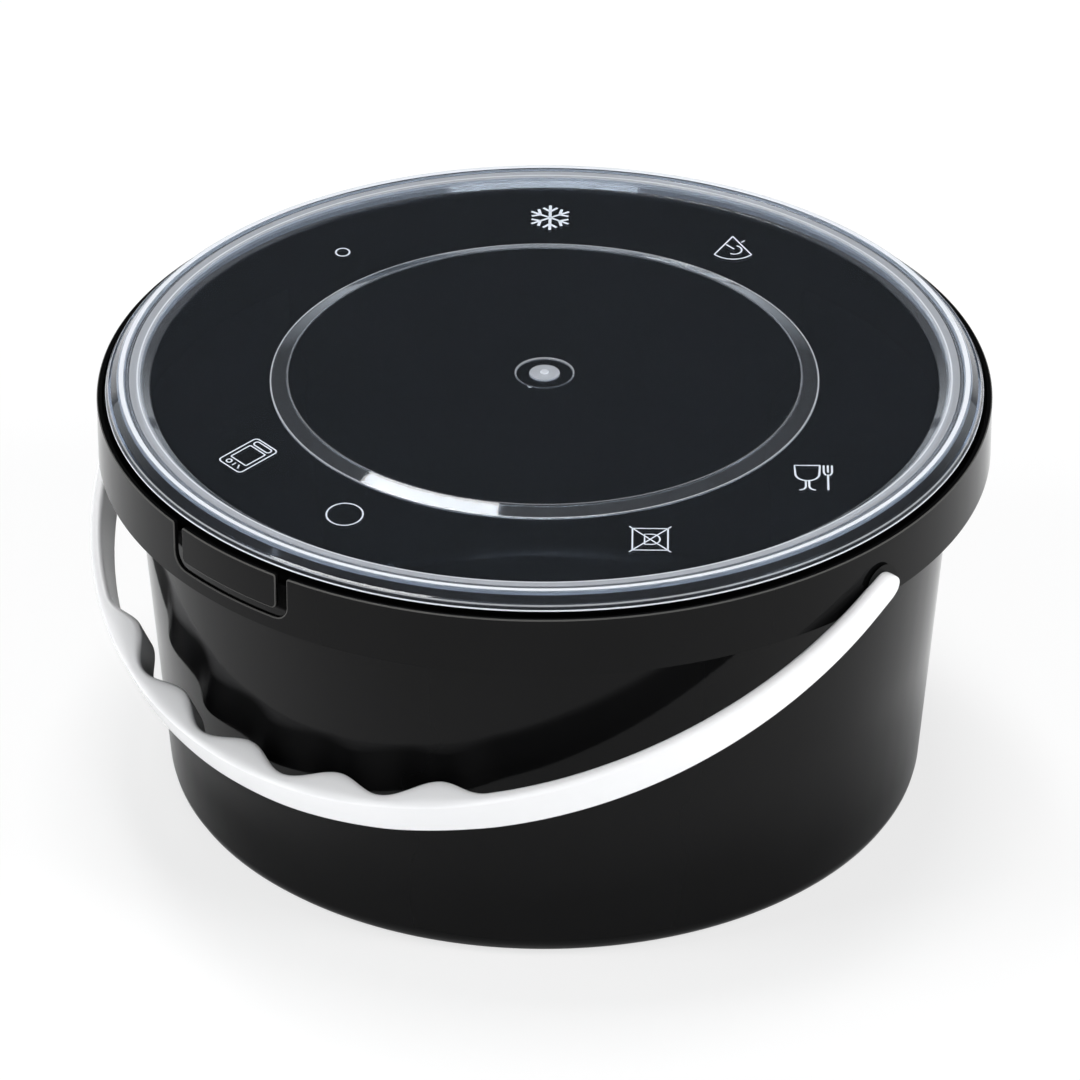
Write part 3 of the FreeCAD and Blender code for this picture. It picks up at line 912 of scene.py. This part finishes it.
floor_half = 8.0
floor_whitening = 0.72     # how far the floor that is seen is lifted towards plain white
floor_shape = bmesh.new()
bmesh.ops.create_grid(floor_shape, x_segments=2, y_segments=2, size=floor_half)
floor_material, floor_shade, floor_output = new_material("floor")
floor_surface = floor_shade.node("ShaderNodeBsdfPrincipled", {}, {
    "Base Color": (0.95, 0.95, 0.95, 1), "Roughness": 0.9, "Specular IOR Level": 0.0})
floor_glow = floor_shade.node("ShaderNodeEmission", {}, {"Color": (1, 1, 1, 1), "Strength": 1.0})
seen = floor_shade.node("ShaderNodeLightPath", {}, {}, output="Is Camera Ray")
seen_through = floor_shade.node("ShaderNodeLightPath", {}, {}, output="Is Transmission Ray")
floor_look = floor_shade.node("ShaderNodeMixShader", {}, {
    0: (seen + seen_through).limited() * floor_whitening, 1: floor_surface, 2: floor_glow})
floor_material.node_tree.links.new(floor_look.socket, floor_output.inputs["Surface"])
floor = piece_from(floor_shape, "floor", floor_material)

# ------------------------------------------------------------------ studio light
# Plain soft light: a panel overhead, a wide low one in front, one at each side, and a small one high
# up behind, the only one that gloss mirrors. The room is pale near the horizon and dim above it.

camera_azimuth = math.radians(43.6)
lamp_aim = Vector((0, 0, 0.06))
lamp_distance = 4.0
room_colour = (0.88, 0.94, 1, 1)
horizon_light = 0.95
ceiling_light = 0.04
horizon_rise = 0.08        # sines of the heights between which the room's light falls off
ceiling_rise = 0.3


def seen_from(azimuth, rise):
    """Direction towards a viewer; azimuth is in radians from the tear tab's side, rise from level."""
    return Vector((math.sin(azimuth) * math.cos(rise), -math.cos(azimuth) * math.cos(rise),
                   math.sin(rise)))


def softbox(name, turn, height, size, power, mirrored=False):
    """Area lamp; turn is in degrees from the camera's own direction, height in degrees.

    Only a mirrored lamp shows as a highlight in gloss, so that the flat lid isn't blotted out.
    """
    away = seen_from(camera_azimuth + math.radians(turn), math.radians(height))
    lamp = bpy.data.lights.new(name, "AREA")
    lamp.shape = "RECTANGLE"
    lamp.size, lamp.size_y = size
    lamp.energy = power
    stand = bpy.data.objects.new(name, lamp)
    stand.location = lamp_aim + lamp_distance * away
    stand.rotation_euler = (-away).to_track_quat("-Z", "Y").to_euler()
    stand.visible_glossy = mirrored
    bpy.context.scene.collection.objects.link(stand)


softbox("overhead", 180, 82, (1.3, 1.3), 80.0)
softbox("behind", 203, 61, (0.6, 1.2), 26.0, mirrored=True)
softbox("front", 0, 16, (3.6, 1.4), 33.0)
softbox("left", -75, 30, (1.4, 2.6), 76.0)
softbox("right", 66, 30, (1.4, 2.6), 80.0)

room = bpy.data.worlds.new("room")
room.use_nodes = True
room.node_tree.nodes.clear()
air = Shade(room.node_tree)
ray = air.node("ShaderNodeTexCoord", {}, {}, output="Generated")
rise = air.node("ShaderNodeSeparateXYZ", {}, {"Vector": ray}, output=2)
dimming = air.node("ShaderNodeMapRange", {"clamp": True}, {
    "Value": rise, "From Min": horizon_rise, "From Max": ceiling_rise,
    "To Min": horizon_light, "To Max": ceiling_light})
room_light = air.node("ShaderNodeBackground", {}, {"Color": room_colour, "Strength": dimming})
room_output = room.node_tree.nodes.new("ShaderNodeOutputWorld")
room.node_tree.links.new(room_light.socket, room_output.inputs["Surface"])
bpy.context.scene.world = room
bpy.context.scene.view_settings.view_transform = "Standard"

# ------------------------------------------------------------------ camera
# A long lens from above the front right, level with the room.

camera_height = math.radians(31.2)
camera_distance = 2.3
camera_aim = Vector((0, 0, 0.0743))
camera_data = bpy.data.cameras.new("camera")
camera_data.sensor_width = 36.0
camera_data.lens = 254.8
camera_data.shift_x = -0.0042
camera_data.clip_end = 100.0
camera = bpy.data.objects.new("camera", camera_data)
camera_back = seen_from(camera_azimuth, camera_height)
camera.location = camera_aim + camera_distance * camera_back
camera.rotation_euler = (-camera_back).to_track_quat("-Z", "Y").to_euler()
bpy.context.scene.collection.objects.link(camera)
bpy.context.scene.camera = camera
